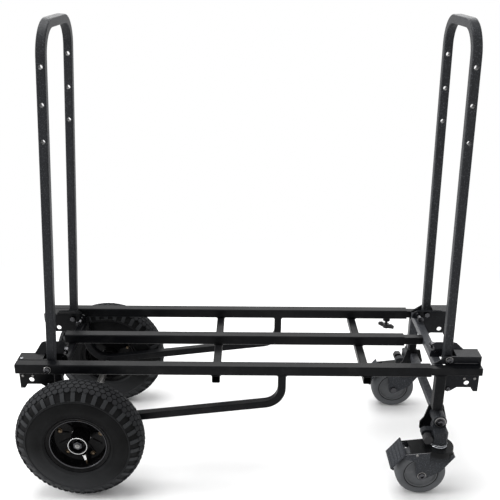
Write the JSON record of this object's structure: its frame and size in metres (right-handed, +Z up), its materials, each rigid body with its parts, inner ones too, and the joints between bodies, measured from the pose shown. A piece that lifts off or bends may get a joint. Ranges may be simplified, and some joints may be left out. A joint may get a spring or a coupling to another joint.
{
  "type": "equipment cart",
  "caption": "Folding equipment cart with a telescoping rail deck, air-filled rear wheels, braked swivel casters on folding arms, and a U-shaped fold-down handle at each end.",
  "frame": {"origin": "middle of the footprint on the ground, under the middle of the deck", "axes": "+X along the rails from the air-filled wheels to the casters, +Y across to the far side, +Z up"},
  "size_m": [0.9368, 0.403, 0.9369],
  "materials": {
    "coat_black": "satin black powder coat",
    "casting_grey": "dark grey painted pressed steel",
    "zinc_bright": "bright zinc plate",
    "tyre_black": "matt tyre rubber",
    "gloss_black": "gloss black enamel",
    "plastic_black": "matt moulded plastic",
    "caster_rubber": "dark grey solid rubber",
    "caster_core": "dark grey moulded nylon"
  },
  "bodies": {
    "rear_frame": {"outer_rail_near": "coat_black", "outer_rail_far": "coat_black", "outer_rail_centre": "coat_black", "rear_cross_tube": "coat_black", "cross_bar_mid": "coat_black", "cross_bar_front": "coat_black", "sled_brace_near": "coat_black", "sled_brace_far": "coat_black", "axle": "zinc_bright", "axle_nut_near": "coat_black", "axle_nut_far": "coat_black", "rear_bracket_near": "coat_black", "rear_bracket_far": "coat_black", "rear_pivot_bolt_near": "zinc_bright", "rear_pivot_bolt_far": "zinc_bright"},
    "front_frame": {"inner_rail_near": "coat_black", "inner_rail_far": "coat_black", "inner_rail_centre": "coat_black", "front_cross_tube": "coat_black", "lower_cross_tube": "coat_black", "caster_leg_near": "coat_black", "caster_leg_far": "coat_black", "front_bracket_near": "coat_black", "front_bracket_far": "coat_black", "fold_plate_near": "coat_black", "fold_plate_far": "coat_black", "front_pivot_bolt_near": "zinc_bright", "front_pivot_bolt_far": "zinc_bright", "fold_bolt_near": "zinc_bright", "fold_bolt_far": "zinc_bright"},
    "handle_left": {"handle_left": "coat_black"},
    "handle_right": {"handle_right": "coat_black"},
    "clamp_knob": {"clamp_knob": "plastic_black"},
    "wheel_near": {"wheel_tyre_near": "tyre_black", "wheel_rim_near": "gloss_black", "wheel_hub_near": "gloss_black"},
    "arm_near": {"caster_arm_near": "casting_grey", "swivel_race_near": "zinc_bright"},
    "plunger_near": {"plunger_near": "plastic_black"},
    "swivel_near": {"fork_near": "casting_grey", "caster_bolt_near": "zinc_bright"},
    "caster_wheel_near": {"caster_core_near": "caster_core", "caster_tyre_near": "caster_rubber"},
    "pedal_near": {"brake_pedal_near": "casting_grey"},
    "wheel_far": {"wheel_tyre_far": "tyre_black", "wheel_rim_far": "gloss_black", "wheel_hub_far": "gloss_black"},
    "arm_far": {"caster_arm_far": "casting_grey", "swivel_race_far": "zinc_bright"},
    "plunger_far": {"plunger_far": "plastic_black"},
    "swivel_far": {"fork_far": "casting_grey", "caster_bolt_far": "zinc_bright"},
    "caster_wheel_far": {"caster_core_far": "caster_core", "caster_tyre_far": "caster_rubber"},
    "pedal_far": {"brake_pedal_far": "casting_grey"},
    "rear_lock_pin_near": {"rear_lock_pin_near": "zinc_bright"},
    "rear_lock_pin_far": {"rear_lock_pin_far": "zinc_bright"},
    "front_lock_pin_near": {"front_lock_pin_near": "zinc_bright"},
    "front_lock_pin_far": {"front_lock_pin_far": "zinc_bright"}
  },
  "joints": [
    {"name": "front_frame_slide", "type": "slide", "parent": "rear_frame", "child": "front_frame", "axis": [1, 0, 0], "range_m": [0, 0.39]},
    {"name": "handle_left_fold", "type": "hinge", "parent": "rear_frame", "child": "handle_left", "pos_m": [-0.4015, 0, 0.2669], "axis": [0, 1, 0], "range_deg": [0, 84]},
    {"name": "handle_right_fold", "type": "hinge", "parent": "front_frame", "child": "handle_right", "pos_m": [0.4044, 0, 0.2852], "axis": [0, -1, 0], "range_deg": [0, 80]},
    {"name": "clamp_knob_turn", "type": "hinge", "parent": "rear_frame", "child": "clamp_knob", "pos_m": [0.323, 0.1238, 0.24], "axis": [0, 0, 1], "range_deg": [0, 540]},
    {"name": "wheel_near_spin", "type": "hinge", "parent": "rear_frame", "child": "wheel_near", "pos_m": [-0.3377, -0.1685, 0.1307], "axis": [0, 1, 0], "continuous": true},
    {"name": "arm_near_fold", "type": "hinge", "parent": "front_frame", "child": "arm_near", "pos_m": [0.391, -0.13, 0.16], "axis": [0, 1, 0], "range_deg": [0, 76]},
    {"name": "plunger_near_slide", "type": "slide", "parent": "arm_near", "child": "plunger_near", "axis": [0, 1, 0], "range_m": [0, 0.008]},
    {"name": "swivel_near_turn", "type": "hinge", "parent": "arm_near", "child": "swivel_near", "pos_m": [0.39, -0.1565, 0.116], "axis": [0, 0, 1], "continuous": true},
    {"name": "caster_wheel_near_spin", "type": "hinge", "parent": "swivel_near", "child": "caster_wheel_near", "pos_m": [0.3566, -0.1565, 0.0515], "axis": [0, 1, 0], "continuous": true},
    {"name": "pedal_near_press", "type": "hinge", "parent": "swivel_near", "child": "pedal_near", "pos_m": [0.32164, -0.1565, 0.0978], "axis": [0, -1, 0], "range_deg": [0, 7]},
    {"name": "wheel_far_spin", "type": "hinge", "parent": "rear_frame", "child": "wheel_far", "pos_m": [-0.3377, 0.1685, 0.1307], "axis": [0, 1, 0], "continuous": true},
    {"name": "arm_far_fold", "type": "hinge", "parent": "front_frame", "child": "arm_far", "pos_m": [0.391, 0.13, 0.16], "axis": [0, 1, 0], "range_deg": [0, 76]},
    {"name": "plunger_far_slide", "type": "slide", "parent": "arm_far", "child": "plunger_far", "axis": [0, -1, 0], "range_m": [0, 0.008]},
    {"name": "swivel_far_turn", "type": "hinge", "parent": "arm_far", "child": "swivel_far", "pos_m": [0.39, 0.1565, 0.116], "axis": [0, 0, 1], "continuous": true},
    {"name": "caster_wheel_far_spin", "type": "hinge", "parent": "swivel_far", "child": "caster_wheel_far", "pos_m": [0.3566, 0.1565, 0.0515], "axis": [0, 1, 0], "continuous": true},
    {"name": "pedal_far_press", "type": "hinge", "parent": "swivel_far", "child": "pedal_far", "pos_m": [0.32164, 0.1565, 0.0978], "axis": [0, -1, 0], "range_deg": [0, 7]},
    {"name": "rear_lock_pin_near_slide", "type": "slide", "parent": "rear_frame", "child": "rear_lock_pin_near", "axis": [0, 1, 0], "range_m": [0, 0.01]},
    {"name": "rear_lock_pin_far_slide", "type": "slide", "parent": "rear_frame", "child": "rear_lock_pin_far", "axis": [0, -1, 0], "range_m": [0, 0.01]},
    {"name": "front_lock_pin_near_slide", "type": "slide", "parent": "front_frame", "child": "front_lock_pin_near", "axis": [0, 1, 0], "range_m": [0, 0.01]},
    {"name": "front_lock_pin_far_slide", "type": "slide", "parent": "front_frame", "child": "front_lock_pin_far", "axis": [0, -1, 0], "range_m": [0, 0.01]}
  ]
}
